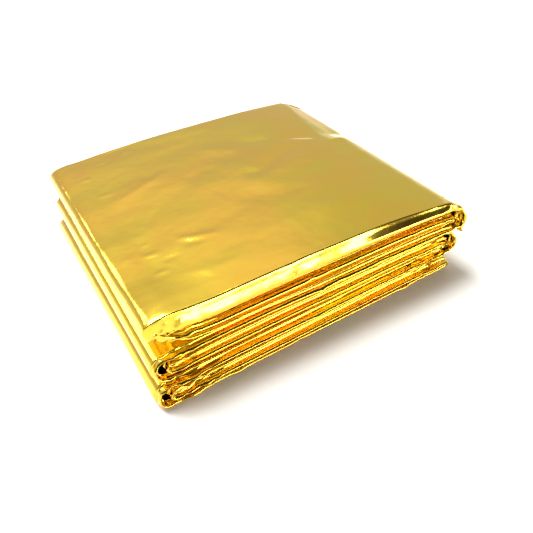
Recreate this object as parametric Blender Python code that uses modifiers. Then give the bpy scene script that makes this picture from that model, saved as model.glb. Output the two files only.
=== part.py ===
"""Emergency foil blanket, folded into a flat pack and lying on a surface.

The blanket is one sheet of metallised film. It is pleated into a long strip, and the
strip is folded back and forth into three bundles, one on top of another. The model is
that sheet as one ribbon: twelve level runs joined by turns at the left and right, a
little apart, each run standing for a bundle of film plies. Metres, +Z up. X runs along
the folded strip, Y across it with -Y to the front, and the pack stands on Z = 0 with
the centre of its box over the origin.
"""

import math
from collections import namedtuple

import bmesh
import bpy

MM = 0.001
OBJECT_NAME = "foil_blanket"

RIBBON = 1.0  # thickness of a run, in mm like every length below
HALF_WIDTH = 60.0  # from the middle of the pack to where its folds end
TURN_STEPS = 8  # pieces in a half turn
CROWN_STATIONS = (-0.75, -0.35, 0.0, 0.35, 0.75)  # bends in a run, in half widths
CLEAR_OF_TURN = 1.0  # least distance from a bend to a turn
DEPTH_STATIONS = (0.0, 0.06, 0.25, 0.5, 0.75, 0.94, 1.0)  # from front edge to back edge

# Runs from the top down. level: height of the run's middle plane at its ends; crown:
# how much higher it is in the middle; front and back: where its long edges lie;
# skew: how far each edge turns towards +Y at the right end and -Y at the left;
# phase: where along the run its edges' ripple starts, in radians.
Run = namedtuple("Run", "level crown front back skew phase")
RUNS = {
    1: Run(29.6, 2.6, -57.4, 58.2, 0.2, 0.0),
    2: Run(24.6, 2.4, -57.0, 58.0, 0.4, 1.9),
    3: Run(22.2, 2.2, -58.4, 57.2, 0.3, 3.1),
    4: Run(19.8, 2.0, -57.3, 58.6, 0.9, 0.7),
    5: Run(17.4, 1.8, -58.8, 57.6, 0.6, 2.4),
    6: Run(15.0, 1.5, -57.9, 58.4, 1.2, 4.0),
    7: Run(12.6, 1.2, -59.0, 57.0, 1.0, 1.2),
    8: Run(10.2, 0.9, -58.2, 58.2, 1.6, 3.5),
    9: Run(7.8, 0.6, -59.4, 57.4, 1.4, 0.4),
    10: Run(5.4, 0.3, -58.4, 58.6, 2.0, 2.8),
    11: Run(2.9, 0.0, -59.2, 57.8, 1.8, 4.4),
    12: Run(0.5, 0.0, -58.6, 58.4, 2.2, 1.5),
}
RIPPLE = 0.5  # how far the long edges wander in and out
RIPPLE_LENGTH = 11.0  # distance along a run over which a ripple turns by one radian
SWAY = 0.4  # how far the top run rises and falls from front to back
SWAY_TURN = 3.6  # turn of that wave over the depth of the pack, in radians

# Turns from one run to the next, in the order in which the sheet goes. reach: how far
# out the turn's nose comes; bulge: how far before the nose the turn starts; drift: how
# much further out the nose is at the front than at the back.
Turn = namedtuple("Turn", "side reach bulge drift")
ORDER = (1, 4, 3, 2, 5, 8, 7, 6, 9, 12, 11, 10)
TURNS = {
    (1, 4): Turn(-1, 60.2, 10.0, 0.8),
    (4, 3): Turn(1, 57.2, 2.4, 0.4),
    (3, 2): Turn(-1, 56.2, 2.4, 0.6),
    (2, 5): Turn(1, 60.8, 5.2, 0.8),
    (5, 8): Turn(-1, 62.0, 5.6, 0.6),
    (8, 7): Turn(1, 56.4, 2.4, -0.3),
    (7, 6): Turn(-1, 58.0, 2.4, 0.5),
    (6, 9): Turn(1, 60.0, 5.2, -0.6),
    (9, 12): Turn(-1, 63.2, 5.4, -0.4),
    (12, 11): Turn(1, 58.4, 2.2, -1.2),
    (11, 10): Turn(-1, 59.4, 2.2, 0.3),
}
INNER_END = 50.0  # where the last run stops, inside the bottom bundle

# The top run's free end, which rolls over the right side and hangs there.
FLAP_START = 52.0  # where it starts to roll over
FLAP_REACH = 63.4  # how far out it hangs
FLAP_DROP = 7.0  # height of the roll
FLAP_HANG = 5.0  # straight end below the roll
FLAP_DRIFT = -1.6  # how much further in it hangs at the front than at the back
FLAP_TUCK = 12.0  # how far its back corner is cut off by the tuck

FILM_COLOUR = (0.80, 0.58, 0.12, 1.0)
FILM_ROUGHNESS = 0.18

# A point of the section, the run whose long edges it keeps to, and its nose's drift.
Station = namedtuple("Station", "x z edges drift")


def clear_scene():
    for leftover in list(bpy.data.objects):
        bpy.data.objects.remove(leftover, do_unlink=True)


def between(start, end, share):
    return start + (end - start) * share


def run_height(run, x):
    return run.level + run.crown * (1.0 - min(1.0, abs(x) / HALF_WIDTH) ** 2)


def turn_stations(first, second):
    """Stations round the turn from one run to the next, both of its ends included."""
    turn = TURNS[(first, second)]
    start, end = RUNS[first], RUNS[second]
    root = turn.side * (turn.reach - turn.bulge)
    top, bottom = run_height(start, root), run_height(end, root)
    stations = []
    for step in range(TURN_STEPS + 1):
        share = step / TURN_STEPS
        outward = turn.side * math.sin(math.pi * share)
        x = root + turn.bulge * outward
        z = (top + bottom) / 2 + (top - bottom) / 2 * math.cos(math.pi * share)
        edges = Run(*(between(a, b, share) for a, b in zip(start, end)))
        stations.append(Station(x, z, edges, turn.drift * outward))
    return stations


def flap_stations():
    """The top run's free end, from its hanging edge up and over to the level part."""
    run = RUNS[1]
    tucked = run._replace(back=run.back - FLAP_TUCK)
    top = run_height(run, FLAP_START)
    hanging = top - FLAP_DROP
    stations = [
        Station(FLAP_REACH, hanging - FLAP_HANG, tucked, FLAP_DRIFT),
        Station(FLAP_REACH, hanging - FLAP_HANG / 2, tucked, FLAP_DRIFT),
    ]
    for step in range(TURN_STEPS + 1):
        angle = math.pi / 2 * step / TURN_STEPS
        outward = math.cos(angle)
        x = between(FLAP_START, FLAP_REACH, outward)
        z = hanging + FLAP_DROP * math.sin(angle)
        edges = run._replace(back=between(run.back, tucked.back, outward))
        stations.append(Station(x, z, edges, FLAP_DRIFT * outward))
    return stations


def level_stations(number, start, end):
    """Bends along a level run, between the two places where its turns begin."""
    run = RUNS[number]
    low = min(start, end) + CLEAR_OF_TURN
    high = max(start, end) - CLEAR_OF_TURN
    bends = [share * HALF_WIDTH for share in CROWN_STATIONS]
    if start > end:
        bends.reverse()
    return [Station(x, run_height(run, x), run, 0.0) for x in bends if low < x < high]


def section_stations():
    """The whole section, from the top run's hanging end to the inner end."""
    stations = flap_stations()
    for first, second in zip(ORDER, ORDER[1:]):
        turn = turn_stations(first, second)
        stations += level_stations(first, stations[-1].x, turn[0].x)
        stations += turn
    last = RUNS[ORDER[-1]]
    stations += level_stations(ORDER[-1], stations[-1].x, INNER_END)
    stations.append(Station(INNER_END, run_height(last, INNER_END), last, 0.0))
    return stations


def place(station, share):
    """The point of a station at a share of the way from the front edge to the back."""
    edges = station.edges
    y = between(edges.front, edges.back, share)
    y += edges.skew * station.x / HALF_WIDTH
    y += RIPPLE * math.sin(station.x / RIPPLE_LENGTH + edges.phase)
    x = station.x + station.drift * (0.5 - share)
    raised = (station.z - RUNS[12].level) / (RUNS[1].level - RUNS[12].level)
    z = station.z + SWAY * raised * math.sin(SWAY_TURN * share)
    return (x * MM, y * MM, z * MM)


def centre_in_plan(mesh):
    """Moves the sheet so that the middle of its box, in X and Y, is at the origin."""
    for axis in (0, 1):
        places = [vert.co[axis] for vert in mesh.verts]
        middle = (min(places) + max(places)) / 2
        for vert in mesh.verts:
            vert.co[axis] -= middle


def ribbon_mesh():
    """An open sheet: the section's line, drawn once for each depth station."""
    mesh = bmesh.new()
    rows = [
        [mesh.verts.new(place(station, share)) for share in DEPTH_STATIONS]
        for station in section_stations()
    ]
    for row, following in zip(rows, rows[1:]):
        for left in range(len(DEPTH_STATIONS) - 1):
            corners = (row[left], row[left + 1], following[left + 1], following[left])
            mesh.faces.new(corners)
    centre_in_plan(mesh)
    data = bpy.data.meshes.new(OBJECT_NAME)
    mesh.to_mesh(data)
    mesh.free()
    return data


def film_material():
    material = bpy.data.materials.new("metallised_film")
    material.use_nodes = True
    shader = material.node_tree.nodes["Principled BSDF"]
    shader.inputs["Base Color"].default_value = FILM_COLOUR
    shader.inputs["Metallic"].default_value = 1.0
    shader.inputs["Roughness"].default_value = FILM_ROUGHNESS
    return material


def main():
    clear_scene()
    collection = bpy.data.collections.new("folded_foil_blanket")
    bpy.context.scene.collection.children.link(collection)
    blanket = bpy.data.objects.new(OBJECT_NAME, ribbon_mesh())
    collection.objects.link(blanket)
    blanket.data.materials.append(film_material())
    blanket.data.shade_smooth()
    thickness = blanket.modifiers.new("film thickness", "SOLIDIFY")
    thickness.thickness = RIBBON * MM
    thickness.offset = 0.0
    thickness.use_even_offset = True


main()
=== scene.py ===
import math
import random

import bmesh
import bpy
from mathutils import Matrix, Vector, noise


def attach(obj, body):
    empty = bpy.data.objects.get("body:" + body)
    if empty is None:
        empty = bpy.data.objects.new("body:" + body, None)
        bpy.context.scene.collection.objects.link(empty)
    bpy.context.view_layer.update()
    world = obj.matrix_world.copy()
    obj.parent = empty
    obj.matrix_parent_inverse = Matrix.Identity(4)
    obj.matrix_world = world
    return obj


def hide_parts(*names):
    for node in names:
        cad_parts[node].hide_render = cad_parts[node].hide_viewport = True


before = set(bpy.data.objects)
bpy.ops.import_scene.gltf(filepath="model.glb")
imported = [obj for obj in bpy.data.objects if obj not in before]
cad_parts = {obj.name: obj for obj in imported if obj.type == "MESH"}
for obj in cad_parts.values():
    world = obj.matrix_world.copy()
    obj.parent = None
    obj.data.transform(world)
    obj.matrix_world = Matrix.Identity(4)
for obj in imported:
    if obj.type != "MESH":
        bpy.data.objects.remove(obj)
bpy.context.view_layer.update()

mm = 0.001


def smooth(low, high, value):  # 0 below low, 1 above high, an easy curve between
    t = min(1.0, max(0.0, (value - low) / (high - low)))
    return t * t * (3.0 - 2.0 * t)


def mix(a, b, share):
    return a + (b - a) * share


def wander(x, y, seed):  # soft noise, about -1 to 1
    return noise.noise(Vector((x, y, seed * 7.31)))


def outwards(azimuth, elevation):  # from the pack; azimuth 0 is in front, 90 to the right
    a, e = math.radians(azimuth), math.radians(elevation)
    return Vector((math.sin(a) * math.cos(e), -math.cos(a) * math.cos(e), math.sin(e)))


camera = {
    "azimuth": -27.8,
    "elevation": 38.1,
    "roll": -3.93,
    "distance": 0.2339,
    "target": (-0.0002, -0.0163, 0.0),
    "lens": 39.5,
    "sensor": 36.0,
}


def makeCamera():
    back = outwards(camera["azimuth"], camera["elevation"])
    azimuth = math.radians(camera["azimuth"])
    right = Vector((math.cos(azimuth), math.sin(azimuth), 0.0))
    up = back.cross(right)
    turn = Matrix.Rotation(math.radians(camera["roll"]), 3, back)
    right, up = turn @ right, turn @ up
    data = bpy.data.cameras.new("camera")
    data.lens = camera["lens"]
    data.sensor_width = camera["sensor"]
    data.clip_start, data.clip_end = 0.01, 20.0
    eye = bpy.data.objects.new("camera", data)
    bpy.context.scene.collection.objects.link(eye)
    place = Vector(camera["target"]) + back * camera["distance"]
    turned = Matrix((right, up, back)).transposed().to_4x4()
    eye.matrix_world = Matrix.Translation(place) @ turned
    bpy.context.scene.camera = eye
    print("camera set")


# The folded strip, in mm. Its runs lie one on another; run 1 is the deep top fold.
strip = {
    "topLevel": 30.1,  # top of the pack at its sides
    "wallHeight": 5.2,  # depth of the top fold's front wall
    "crown": 2.6,  # rise of the top in the middle
    "crownReach": 60.0,  # how far from the middle the rise ends
    "flatLevel": 1.2,  # a run this low lies flat on the floor
    "runCount": 12,
    "runsInBundle": 4,
    "taper": (-8, 54),  # from here to here the wall grows shallow and the runs under it rise
    "taperRise": 2.0,
    "coverStep": 0.88,  # spacing of the mesh along the top fold
    "innerStep": 1.15,  # and along the rest
    "coverColumns": 124,  # points across the top of the top fold
    "innerColumns": 2,
    "innerEnd": 50.0,
    "order": (1, 4, 3, 2, 5, 8, 7, 6, 9, 12, 11, 10),  # the runs in the order the strip takes them
}
# each run: front edge, back edge, how much both are skewed, thickness of its nose in the
# layer, depth of the recess beside it, how far its face leans back in degrees
runTable = {
    1: (-57.6, 57.8, 0.2, 1.0, 2.0, 24),
    2: (-56.2, 57.4, 0.4, 0.42, 2.6, 12),
    3: (-57.6, 57.0, 0.3, 0.60, 2.0, 27),
    4: (-57.2, 58.2, 0.9, 0.44, 2.8, 14),
    5: (-58.4, 57.4, 0.6, 0.50, 2.4, 40),
    6: (-57.4, 58.2, 1.2, 0.66, 2.6, 20),
    7: (-58.7, 57.0, 1.0, 0.46, 2.4, 26),
    8: (-58.0, 58.0, 1.6, 0.62, 2.2, 10),
    9: (-59.2, 57.2, 1.4, 0.46, 3.0, 30),
    10: (-58.2, 58.4, 2.0, 0.66, 2.4, 18),
    11: (-59.5, 57.6, 1.8, 0.48, 2.6, 25),
    12: (-58.8, 58.2, 2.2, 0.62, 2.0, 12),
}
# each turn between two runs: side (-1 left, 1 right), how far out its nose is, how far
# before that the turn starts, how far it drifts to the front
turns = {
    (1, 4): (-1, 60.2, 12.0, 0.8),
    (4, 3): (1, 56.6, 2.2, 0.4),
    (3, 2): (-1, 55.6, 2.2, 0.6),
    (2, 5): (1, 60.6, 5.2, 0.8),
    (5, 8): (-1, 61.8, 4.0, 0.6),
    (8, 7): (1, 56.0, 2.2, -0.3),
    (7, 6): (-1, 57.6, 2.2, 0.5),
    (6, 9): (1, 60.0, 5.2, -0.6),
    (9, 12): (-1, 63.2, 4.2, -0.4),
    (12, 11): (1, 58.0, 2.2, -1.2),
    (11, 10): (-1, 58.8, 2.2, 0.3),
}
flap = {
    "start": 52.0,  # where the top starts to turn down over the right side
    "reach": 62.4,
    "drop": 8.0,  # height of the turn
    "hang": 5.0,  # what hangs straight under it
    "drift": -1.6,
    "tuck": 12.0,  # how much shorter the flap is at the back
    "half": 0.7,  # half its thickness
}


def makeRuns():
    made = {}
    top, wall = strip["topLevel"], strip["wallHeight"]
    pitch = (top - wall - 0.05) / (strip["runCount"] - 1)
    for number, (front, back, skew, nose, recess, lean) in runTable.items():
        if number == 1:
            level, half = top - wall / 2, wall / 2
        else:
            level, half = top - wall - pitch * (number - 1.5), pitch / 2
        crown = strip["crown"] * (level - strip["flatLevel"]) / (top - wall / 2 - strip["flatLevel"])
        made[number] = dict(level=level, crown=crown, half=half, front=front, back=back, skew=skew,
                            nose=nose, recess=recess, lean=lean, number=float(number),
                            wall=float(number == 1),  # 1 where the edge is the top fold's wall
                            bundle=float((number - 1) // strip["runsInBundle"]))
    return made


runs = makeRuns()


def taper(x):
    return smooth(*strip["taper"], x)


def runHeight(run, x):
    rise = strip["taperRise"] * taper(x) * mix(smooth(0, 24, run["level"]), 0.5, run["wall"])
    return run["level"] + rise + run["crown"] * (1.0 - min(1.0, abs(x) / strip["crownReach"]) ** 2)


def runHalf(run, x):
    return run["half"] - strip["taperRise"] / 2 * taper(x) * run["wall"]


def blendRuns(a, b, share):
    return {key: mix(a[key], b[key], share) for key in a}


def turnLine(first, second, steps=26):
    side, reach, bulge, drift = turns[(first, second)]
    a, b = runs[first], runs[second]
    root = side * (reach - bulge)
    top, bottom = runHeight(a, root), runHeight(b, root)
    line = []
    for i in range(steps + 1):
        share = i / steps
        if first == 1:  # the top fold leans out and turns under sharply
            out = math.sin(math.pi * share ** 0.62) ** 0.8
            z = mix(top, bottom, share ** 1.35)
        else:
            out = math.sin(math.pi * share) ** 0.55
            z = mix(top, bottom, 0.5 - 0.5 * math.cos(math.pi * share))
        run = blendRuns(a, b, smooth(0, 1, share))
        line.append(dict(x=root + side * bulge * out, z=z, run=run, drift=side * drift * out))
    return line


def flapLine(hangSteps=4, turnSteps=16):
    run = runs[1]
    thin = dict(run, half=flap["half"], back=run["back"] - flap["tuck"], wall=0.0, nose=0.9,
                recess=1.2, lean=15)
    hanging = runHeight(run, flap["start"]) - flap["drop"]
    line = []
    for i in range(hangSteps):
        z = hanging - flap["hang"] * (1 - i / hangSteps)
        line.append(dict(x=flap["reach"], z=z, run=thin, drift=flap["drift"]))
    for i in range(turnSteps + 1):
        angle = math.pi / 2 * i / turnSteps
        out = math.cos(angle)
        x = mix(flap["start"], flap["reach"], out)
        z = hanging + flap["drop"] * math.sin(angle)
        line.append(dict(x=x, z=z, run=blendRuns(run, thin, out), drift=flap["drift"] * out))
    return line


def levelLine(number, start, end, count=30):
    run = runs[number]
    places = [mix(start, end, i / count) for i in range(1, count)]
    return [dict(x=x, z=runHeight(run, x), run=run, drift=0.0) for x in places]


def sectionLine():
    # the strip's whole path seen from the front, from the flap to its inner end
    line = flapLine()
    for first, second in zip(strip["order"], strip["order"][1:]):
        turn = turnLine(first, second)
        line += levelLine(first, line[-1]["x"], turn[0]["x"])
        line += turn
        if first == 1:
            line[-1]["coverEnds"] = True
    line += levelLine(strip["order"][-1], line[-1]["x"], strip["innerEnd"])
    return line


def resample(line, step, offset=0.0):
    # even spacing along the line; each point gets its distance s and its outward normal
    travelled = [0.0]
    for a, b in zip(line, line[1:]):
        travelled.append(travelled[-1] + math.hypot(b["x"] - a["x"], b["z"] - a["z"]))
    count = int(travelled[-1] / step)
    out, j = [], 0
    for i in range(count + 1):
        s = travelled[-1] * i / count
        while j < len(line) - 2 and travelled[j + 1] < s:
            j += 1
        share = (s - travelled[j]) / max(1e-6, travelled[j + 1] - travelled[j])
        a, b = line[j], line[j + 1]
        point = {key: mix(a[key], b[key], share) for key in ("x", "z", "drift")}
        point["run"] = blendRuns(a["run"], b["run"], share)
        point["s"] = s + offset
        out.append(point)
    for i, point in enumerate(out):
        a, b = out[max(0, i - 1)], out[min(len(out) - 1, i + 1)]
        length = math.hypot(b["x"] - a["x"], b["z"] - a["z"])
        point["normal"] = ((b["z"] - a["z"]) / length, -(b["x"] - a["x"]) / length)
    return out


# The film's edges. Each has 21 points, from the top down.
edge = {
    "points": 21,
    "middle": 10,
    "clear": 5.4,  # how far inside its edges the flat of a run starts
    "brow": 0.75,  # round at the top of the top fold's wall
    "lip": 0.5,  # round at its foot
    "wallLean": (23.0, 41.0),  # degrees, at the left and at the right
    "nicks": 44,
    "nickLength": 1500,  # the strip's length that they are strewn over
}
# amount, length and seed of each wave in the line of an edge
waves = {
    "front": ((0.5, 60, 1), (0.10, 18, 2), (0.02, 4, 3)),
    "back": ((0.6, 60, 5), (0.12, 18, 6), (0.03, 4, 7)),
}
# a plain pleat: how far in, as a share of the recess, and how high
pleatShape = (
    (1.3, 1.0), (1.06, 0.99), (0.97, 0.86), (0.94, 0.66), (0.86, 0.5), (0.62, 0.46), (0.34, 0.43),
    (0.2, 0.38), (0.08, 0.25), (0.02, 0.12), (0.0, 0.0), (0.02, -0.12), (0.08, -0.25), (0.2, -0.38),
    (0.34, -0.43), (0.62, -0.46), (0.86, -0.5), (0.94, -0.66), (0.97, -0.86), (1.06, -0.99), (1.3, -1.0),
)
nickRandom = random.Random(5)
nicks = [(nickRandom.uniform(0, edge["nickLength"]), nickRandom.uniform(1.0, 3.5),
          nickRandom.uniform(-0.6, 0.45), nickRandom.uniform(-0.3, 0.3)) for i in range(edge["nicks"])]


def nickAt(s):  # sparse sharp nicks along the edge: in or out, up or down
    inward, lift = 0.0, 0.0
    for place, width, depth, height in nicks:
        away = abs(s - place) / width
        if away < 3:
            fall = math.exp(-away * 1.6)
            inward += depth * fall
            lift += height * fall
    return inward, lift


def leanAt(run, x, s):  # how far a face leans back, in degrees
    lean = run["lean"] + 5.0 * wander(s / 38, run["number"] * 3.7, 21)
    wallLean = mix(*edge["wallLean"], smooth(2, 40, x)) + 2.5 * wander(s / 20, 0, 22)
    return mix(lean, wallLean, run["wall"])


def pleatNose(index, half, nose, recess, lean):
    # a thin flattened pleat whose face leans back a little, set in its recess
    inward, height = pleatShape[index]
    if abs(height) < 0.6:
        height *= nose / 0.5
        leaned = math.tan(math.radians(lean)) * (height + nose) * half * (1 - inward)
        return inward * recess + leaned, height * half
    return inward * recess, height * half


def wallFace(index, half, lean):
    # the top fold: a short round under the top sheet, a flat wall, a lip turned under
    tilt = math.tan(math.radians(lean))
    brow, lip = edge["brow"], edge["lip"]
    if index <= 1:
        return tilt * (2 * half - lip - brow) + brow + (2.2, 1.0)[index], half
    if index <= 9:
        angle = math.radians(mix(90, lean, (index - 2) / 7))
        inward = tilt * (2 * half - lip - brow) + brow * (1 - math.cos(angle))
        return inward, half - brow * (1 - math.sin(angle))
    if index <= 14:
        browFoot = half - brow * (1 - math.sin(math.radians(lean)))
        height = mix(browFoot, lip - half, (index - 9) / 5)
        return tilt * (height + half - lip), height
    angle = math.radians((index - 14) * 90 / 5)
    inward = lip * (1 - math.cos(angle)) + 1.8 * max(0, index - 19)
    return inward, lip - half - lip * math.sin(angle)


def edgeOffset(point, index, lean):
    # one point of an edge: how far in it lies and how high
    run, s = point["run"], point["s"]
    nose = run["nose"] * (1 + 0.18 * wander(s / 33, 4, 11))
    recess = run["recess"] * (1 + 0.25 * wander(s / 41, 0, 12))
    half = runHalf(run, point["x"])
    inward, height = pleatNose(index, half, nose, recess, lean)
    if run["wall"] > 0:
        wallIn, wallHeight = wallFace(index, half, lean)
        inward, height = mix(inward, wallIn, run["wall"]), mix(height, wallHeight, run["wall"])
    shift, lift = nickAt(s)
    strength = smooth(8, 0, abs(index - edge["middle"])) * (1 - 0.6 * run["wall"])
    return inward + shift * strength, height + lift * strength


def edgeLine(point, side):
    run = point["run"]
    y = run[side] + run["skew"] * point["x"] / 60
    for amount, length, seed in waves[side]:
        y += amount * wander(point["s"] / length, 0, seed)
    return y


def placeOnStrip(point, column):
    part, value = column
    run, s = point["run"], point["s"]
    front, back = edgeLine(point, "front"), edgeLine(point, "back")
    if part == "front":
        inward, h = edgeOffset(point, value, leanAt(run, point["x"], s))
        y = front + inward
    elif part == "back":  # the back wall leans as the left of the front one does
        inward, h = edgeOffset(point, value, leanAt(run, -20, s + 900))
        y = back - inward
    else:
        y = mix(front + edge["clear"], back - edge["clear"], value)
        half = runHalf(run, point["x"])
        h = half if part == "top" else -half
    h += 0.12 * wander(s / 22, y / 60, 9)
    nx, nz = point["normal"]
    x = point["x"] + nx * h + point["drift"] * (0.5 - (y + 60) / 120)
    z = point["z"] + nz * h
    return Vector((x, y, z))


# Creases of the top sheet: points in plan, width and height in mm. A negative height is a trough.
creases = (
    (((-51, 12), (-35, 17), (-16, 25)), 2.6, 0.16),
    (((-51, 22), (-43, 20.5)), 1.0, 0.12),
    (((-53, 38), (-48, 37)), 0.9, 0.10),
    (((-33, 48), (-27, 50)), 0.9, 0.10),
    (((-44, 44), (-36, 47)), 1.1, -0.08),
    (((-49, -18), (-45, -19)), 0.9, 0.10),
    (((-51, -24), (-43, -26)), 1.2, 0.15),
    (((-51, -35.5), (-44, -36)), 1.2, 0.14),
    (((-46, -30), (-38, -31)), 1.3, -0.12),
    (((-39, -21), (-31, -25), (-22, -28)), 1.7, 0.22),
    (((-37, -25), (-28, -29)), 1.5, -0.18),
    (((-44, -40), (-33, -44), (-20, -44)), 3.0, 0.16),
    (((-30, -35), (-14, -38), (4, -36)), 4.0, -0.14),
    (((30, 10), (21, 8), (9.5, 1), (4, 1), (0, 2)), 3.2, -0.34),
    (((36, 4), (22, -1), (10, -6)), 3.6, 0.22),
    (((27, 0), (33, -3)), 1.1, 0.12),
    (((41, -5), (45, -3)), 0.9, 0.10),
    (((46, 15), (39, 18), (28, 22)), 1.3, -0.26),
    (((43, 12), (37, 16), (33, 21)), 1.5, 0.24),
    (((46, 10), (53, 8), (57, 8.6)), 2.0, 0.30),
    (((12, 30), (20, 25), (27, 23)), 3.2, -0.24),
    (((-8, 34), (4, 27), (14, 16)), 5.0, 0.26),
    (((-22, 8), (-10, 14), (0, 12)), 4.5, -0.20),
    (((40, -28), (22, -34), (2, -33)), 6.0, 0.20),
    (((-12, -12), (6, -18), (24, -20)), 6.0, -0.24),
    (((52, -8), (44, -16), (38, -30)), 5.0, -0.16),
)
ripples = ((0.34, 34, 22, 31), (0.10, 12, 8, 32), (0.02, 3, 3, 33))  # height, length, width, seed
shoulder = {
    "line": ((53.5, 55.0), (49.0, 33.0), (46.5, 14.0)),  # where the top turns down to the right
    "slope": 0.17,
    "fade": (9, 17),  # it fades out to the front between these
    "round": 0.6,
}


def alongLine(x, y, points):
    # distance to a line of points, the side it lies on, and how far along as a share
    best = (1e9, 0.0, 0.0)
    count = len(points) - 1
    for i in range(count):
        (ax, ay), (bx, by) = points[i], points[i + 1]
        dx, dy = bx - ax, by - ay
        share = ((x - ax) * dx + (y - ay) * dy) / (dx * dx + dy * dy)
        held = min(1.0, max(0.0, share))
        away = math.hypot(x - ax - dx * held, y - ay - dy * held)
        if away < best[0]:
            best = (away, (x - ax) * dy - (y - ay) * dx, (i + held) / count)
    return best


def topDent(x, y):
    height = 0.0
    for amount, length, width, seed in ripples:
        height += amount * wander(x / length, y / width, seed)
    for points, width, rise in creases:
        if abs(x - points[0][0]) > 50 or abs(y - points[0][1]) > 40:
            continue
        away, side, share = alongLine(x, y, points)
        if away < 3 * width:
            ends = smooth(-0.02, 0.35, share) * smooth(1.02, 0.6, share)
            height += rise * math.exp(-((away / width) ** 1.6)) * max(ends, 0.12 * (width > 3))
    away, side, share = alongLine(x, y, shoulder["line"])
    if side > 0:
        away = 0.0
    slope = shoulder["slope"] * smooth(*shoulder["fade"], y)
    return height - slope * (math.hypot(away, shoulder["round"]) - shoulder["round"])


# Where the strip turns, the film gathers: centre and reach in mm, how deep.
bunches = (
    ((-57, -57, 25), (9, 7, 5), 1.0),
    ((-58, -57, 16), (8, 6, 3.5), 1.0),
    ((-58, -58, 6), (10, 6, 5.5), 1.0),
    ((-47, -59, 4), (6, 4, 3), 0.7),
    ((60, -57, 24), (8, 8, 8), 1.1),
    ((58, -57, 12), (8, 6, 7), 1.0),
    ((44, -57, 9), (9, 4, 7), 0.5),
    ((-60, 56, 10), (7, 6, 8), 0.8),
    ((-58, 57, 24), (6, 5, 6), 0.5),
    ((58, 57, 15), (8, 6, 14), 0.9),
)
facetSize = 3.1
noise.seed_set(5)  # so that the crumples are the same each time


def crumple(place):
    amount = 0.0
    for centre, reach, depth in bunches:
        away = sum(((place[i] - centre[i]) / reach[i]) ** 2 for i in range(3))
        if away < 4:
            amount = max(amount, depth * math.exp(-away))
    if amount < 0.03:
        return place
    near, points = noise.voronoi(place / facetSize)
    ridge = min(0.6, near[1] - near[0])
    push = noise.noise_vector(place / 4.0) * 0.9 + noise.noise_vector(place / 1.5) * 0.35
    outward = Vector((place.x * 0.5, place.y, 0)).normalized()
    return place + (push + outward * (ridge - 0.25) * 2.0) * amount


# Gaps between two bundles at the front left: which two, opening in mm, where it starts and is full.
gaps = (
    (0.5, 1.5, (-24, -52)),
    (1.5, 0.8, (-34, -54)),
)


def openGaps(place, bundle):
    for between, opening, (start, end) in gaps:
        share = smooth(-36, -56, place.x) * smooth(start, end, place.y)
        if share > 0:
            side = 1.0 if bundle < between else -0.6
            place.z += side * opening * share * math.exp(-abs(bundle - between) * 0.6)
    return place


def columnsFor(topCount):  # once round the strip: front edge, underside, back edge, top
    indices = range(edge["points"])
    columns = [("front", i) for i in indices]
    columns += [("under", share) for share in (0.02, 0.98)]
    columns += [("back", i) for i in reversed(indices)]
    columns += [("top", 1 - (i + 0.5) / topCount) for i in range(topCount)]
    columns.append(columns[0])
    return columns


def layGrid(bm, line, columns):
    rows, across = len(line), len(columns)
    grid = bmesh.ops.create_grid(bm, x_segments=rows - 1, y_segments=across - 1, size=0.5)
    for vert in grid["verts"]:
        point = line[round((vert.co.x + 0.5) * (rows - 1))]
        column = columns[round((vert.co.y + 0.5) * (across - 1))]
        place = placeOnStrip(point, column)
        run = point["run"]
        if run["wall"] > 0.2 and (column[0] == "top" or column[1] in (0, 1)):
            inside = smooth(60, 54, abs(place.y))
            place.z += topDent(place.x, place.y) * inside * smooth(0.2, 0.9, run["wall"])
        place = crumple(openGaps(place, run["bundle"]))
        place.z = max(0.05, place.z)  # nothing goes under the floor
        vert.co = place * mm


def buildFilm():
    whole = sectionLine()
    split = next(i for i, point in enumerate(whole) if point.get("coverEnds"))
    cover = resample(whole[: split + 1], strip["coverStep"])
    inner = resample(whole[split:], strip["innerStep"], cover[-1]["s"])
    inner[0]["normal"] = cover[-1]["normal"]
    bm = bmesh.new()
    layGrid(bm, cover, columnsFor(strip["coverColumns"]))
    layGrid(bm, inner, columnsFor(strip["innerColumns"]))
    bmesh.ops.remove_doubles(bm, verts=bm.verts, dist=1e-7)
    ends = [side for side in bm.edges if side.is_boundary]
    bmesh.ops.holes_fill(bm, edges=ends, sides=0)
    bmesh.ops.recalc_face_normals(bm, faces=bm.faces)
    for face in bm.faces:
        face.smooth = True
    mesh = bpy.data.meshes.new("foilFilm")
    bm.to_mesh(mesh)
    bm.free()
    made = bpy.data.objects.new("foilFilm", mesh)
    bpy.context.scene.collection.objects.link(made)
    print("film", len(mesh.polygons), "faces")
    return made


def linear(hexColour):
    def channel(part):
        value = int(part, 16) / 255
        return value / 12.92 if value <= 0.04045 else ((value + 0.055) / 1.055) ** 2.4
    return (channel(hexColour[1:3]), channel(hexColour[3:5]), channel(hexColour[5:7]), 1.0)


def addNode(tree, kind, links=(), inputs=None, **settings):
    node = tree.nodes.new(kind)
    for name, value in settings.items():
        setattr(node, name, value)
    for name, value in (inputs or {}).items():
        node.inputs[name].default_value = value
    for source, socket in links:
        tree.links.new(source, node.inputs[socket])
    return node


film = {
    "gold": "#eec03e",  # dyed film over aluminium
    "lemon": "#e6c53a",  # the same film where the dye looks thinner
    "patch": 0.030,  # metres across a patch of colour
    "puckers": 0.0045,  # metres between fine puckers
    "puckerDepth": 0.00018,
    "grain": 0.0012,  # far finer on the real film; as coarse as it needs to be to show
    "grainDepth": 0.00002,
    "roughness": (0.085, 0.15),
    "gloss": 0.35,  # weight of the clear face over the metal
    "glossRoughness": 0.05,
    "petIor": 1.57,
}


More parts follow.
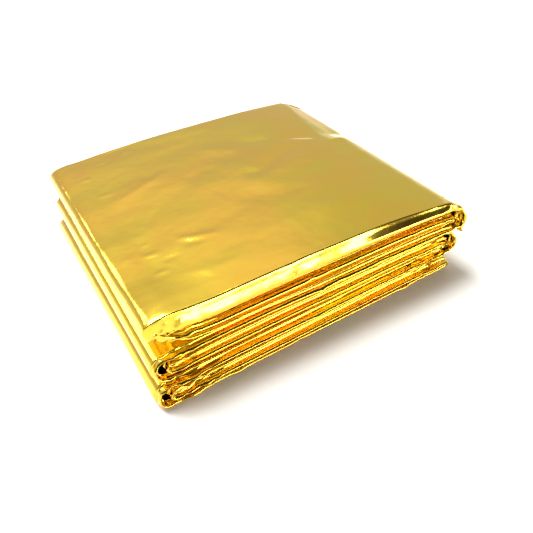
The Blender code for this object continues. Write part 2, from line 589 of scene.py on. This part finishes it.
def metallisedFilm():
    # Vapour-metallised PET film, 12 microns thick, dyed gold on the outer face: it mirrors like
    # a metal, tinted, with a thin clear gloss over it and fine puckers that soften the mirror.
    material = bpy.data.materials.new("metallised PET film")
    material.use_nodes = True
    tree = material.node_tree
    shader = tree.nodes["Principled BSDF"]
    shader.inputs["Metallic"].default_value = 1.0
    shader.inputs["Coat Weight"].default_value = film["gloss"]
    shader.inputs["Coat IOR"].default_value = film["petIor"]
    shader.inputs["Coat Roughness"].default_value = film["glossRoughness"]
    place = addNode(tree, "ShaderNodeTexCoord").outputs["Object"]
    patches = addNode(tree, "ShaderNodeTexNoise", [(place, "Vector")],
                      {"Scale": 1 / film["patch"], "Detail": 2.0, "Distortion": 0.6})
    share = addNode(tree, "ShaderNodeMapRange", [(patches.outputs["Fac"], "Value")],
                    {"From Min": 0.38, "From Max": 0.64}, interpolation_type="SMOOTHSTEP")
    colour = addNode(tree, "ShaderNodeMix", [(share.outputs["Result"], 0)],
                     {6: linear(film["gold"]), 7: linear(film["lemon"])}, data_type="RGBA")
    tree.links.new(colour.outputs[2], shader.inputs["Base Color"])
    low, high = film["roughness"]
    roughness = addNode(tree, "ShaderNodeMapRange", [(patches.outputs["Fac"], "Value")],
                        {"From Min": 0.3, "From Max": 0.7, "To Min": low, "To Max": high})
    tree.links.new(roughness.outputs["Result"], shader.inputs["Roughness"])
    puckers = addNode(tree, "ShaderNodeTexNoise", [(place, "Vector")],
                      {"Scale": 1 / film["puckers"], "Detail": 3.0, "Roughness": 0.5})
    grain = addNode(tree, "ShaderNodeTexNoise", [(place, "Vector")],
                    {"Scale": 1 / film["grain"], "Detail": 1.0})
    coarse = addNode(tree, "ShaderNodeBump", [(puckers.outputs["Fac"], "Height")],
                     {"Strength": 0.5, "Distance": film["puckerDepth"]})
    fine = addNode(tree, "ShaderNodeBump",
                   [(grain.outputs["Fac"], "Height"), (coarse.outputs["Normal"], "Normal")],
                   {"Strength": 0.4, "Distance": film["grainDepth"]})
    tree.links.new(fine.outputs["Normal"], shader.inputs["Normal"])
    return material


def whiteCard():
    # matt white card: pale, even and without gloss
    material = bpy.data.materials.new("white card")
    material.use_nodes = True
    shader = material.node_tree.nodes["Principled BSDF"]
    shader.inputs["Base Color"].default_value = linear("#f4f3f0")
    shader.inputs["Roughness"].default_value = 0.9
    return material


def makeFloor(size=0.9):
    bm = bmesh.new()
    bmesh.ops.create_grid(bm, x_segments=1, y_segments=1, size=size)
    mesh = bpy.data.meshes.new("floor")
    bm.to_mesh(mesh)
    bm.free()
    floor = bpy.data.objects.new("floor", mesh)
    floor.data.materials.append(whiteCard())
    bpy.context.scene.collection.objects.link(floor)
    print("floor laid")


# How bright the room is, by direction.
sky = {
    "ring": (0.92, 0.93, 0.92),  # pale all round, just over the floor
    "backLow": (0.66, 0.63, 0.58),
    "backHigh": (1.08, 1.03, 0.97),
    "rightTint": (0.66, 0.67, 0.58),
    "frontLow": (0.22, 0.22, 0.22),
    "frontHigh": (0.05, 0.05, 0.05),
}
# each blend: its name, the axis it runs along, from where to where, and what it goes between
skyBlends = (
    ("back", "Z", 0.36, 0.72, "backLow", "backHigh"),
    ("backTinted", "X", 0.34, 0.60, "back", "rightTint"),
    ("front", "Z", 0.30, 0.50, "frontLow", "frontHigh"),
    ("room", "Y", -0.2, 0.3, "front", "backTinted"),
    ("whole", "Z", 0.24, 0.12, "room", "ring"),
)
# azimuth, elevation, distance, width, height in metres, watts
lamps = {
    "overhead": (200, 66, 1.40, 0.85, 0.70, 32.0),
    "frontStrip": (28, 9, 1.40, 1.10, 0.26, 11.0),
    "backLeft": (214, 34, 1.30, 0.50, 0.42, 3.0),
}


def makeRoom():
    world = bpy.data.worlds.new("studio")
    world.use_nodes = True
    bpy.context.scene.world = world
    tree = world.node_tree
    background = tree.nodes["Background"]
    direction = addNode(tree, "ShaderNodeTexCoord").outputs["Generated"]
    split = addNode(tree, "ShaderNodeSeparateXYZ", [(direction, 0)])
    made = {}
    for name, axis, start, end, first, second in skyBlends:
        share = addNode(tree, "ShaderNodeMapRange", [(split.outputs[axis], "Value")],
                        {"From Min": start, "From Max": end}, interpolation_type="SMOOTHSTEP")
        blend = addNode(tree, "ShaderNodeMix", [(share.outputs["Result"], 0)], data_type="RGBA")
        for socket, colour in ((6, first), (7, second)):
            if colour in made:
                tree.links.new(made[colour], blend.inputs[socket])
            else:
                blend.inputs[socket].default_value = (*sky[colour], 1)
        made[name] = blend.outputs[2]
    tree.links.new(made["whole"], background.inputs["Color"])
    background.inputs["Strength"].default_value = 1.0


def hangLamps():
    for name, (azimuth, elevation, distance, width, height, watts) in lamps.items():
        lamp = bpy.data.lights.new(name, "AREA")
        lamp.shape = "RECTANGLE"
        lamp.size, lamp.size_y = width, height
        lamp.energy = watts
        light = bpy.data.objects.new(name, lamp)
        away = outwards(azimuth, elevation)
        turned = away.to_track_quat("Z", "Y").to_matrix().to_4x4()
        light.matrix_world = Matrix.Translation(away * distance) @ turned
        bpy.context.scene.collection.objects.link(light)
    print("room and lamps set")


bpy.context.scene.view_settings.view_transform = "Standard"
makeCamera()
makeFloor()
makeRoom()
hangLamps()
blanket = buildFilm()
blanket.data.materials.append(metallisedFilm())
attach(blanket, "root")
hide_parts("foil_blanket")
print("film rides on root")
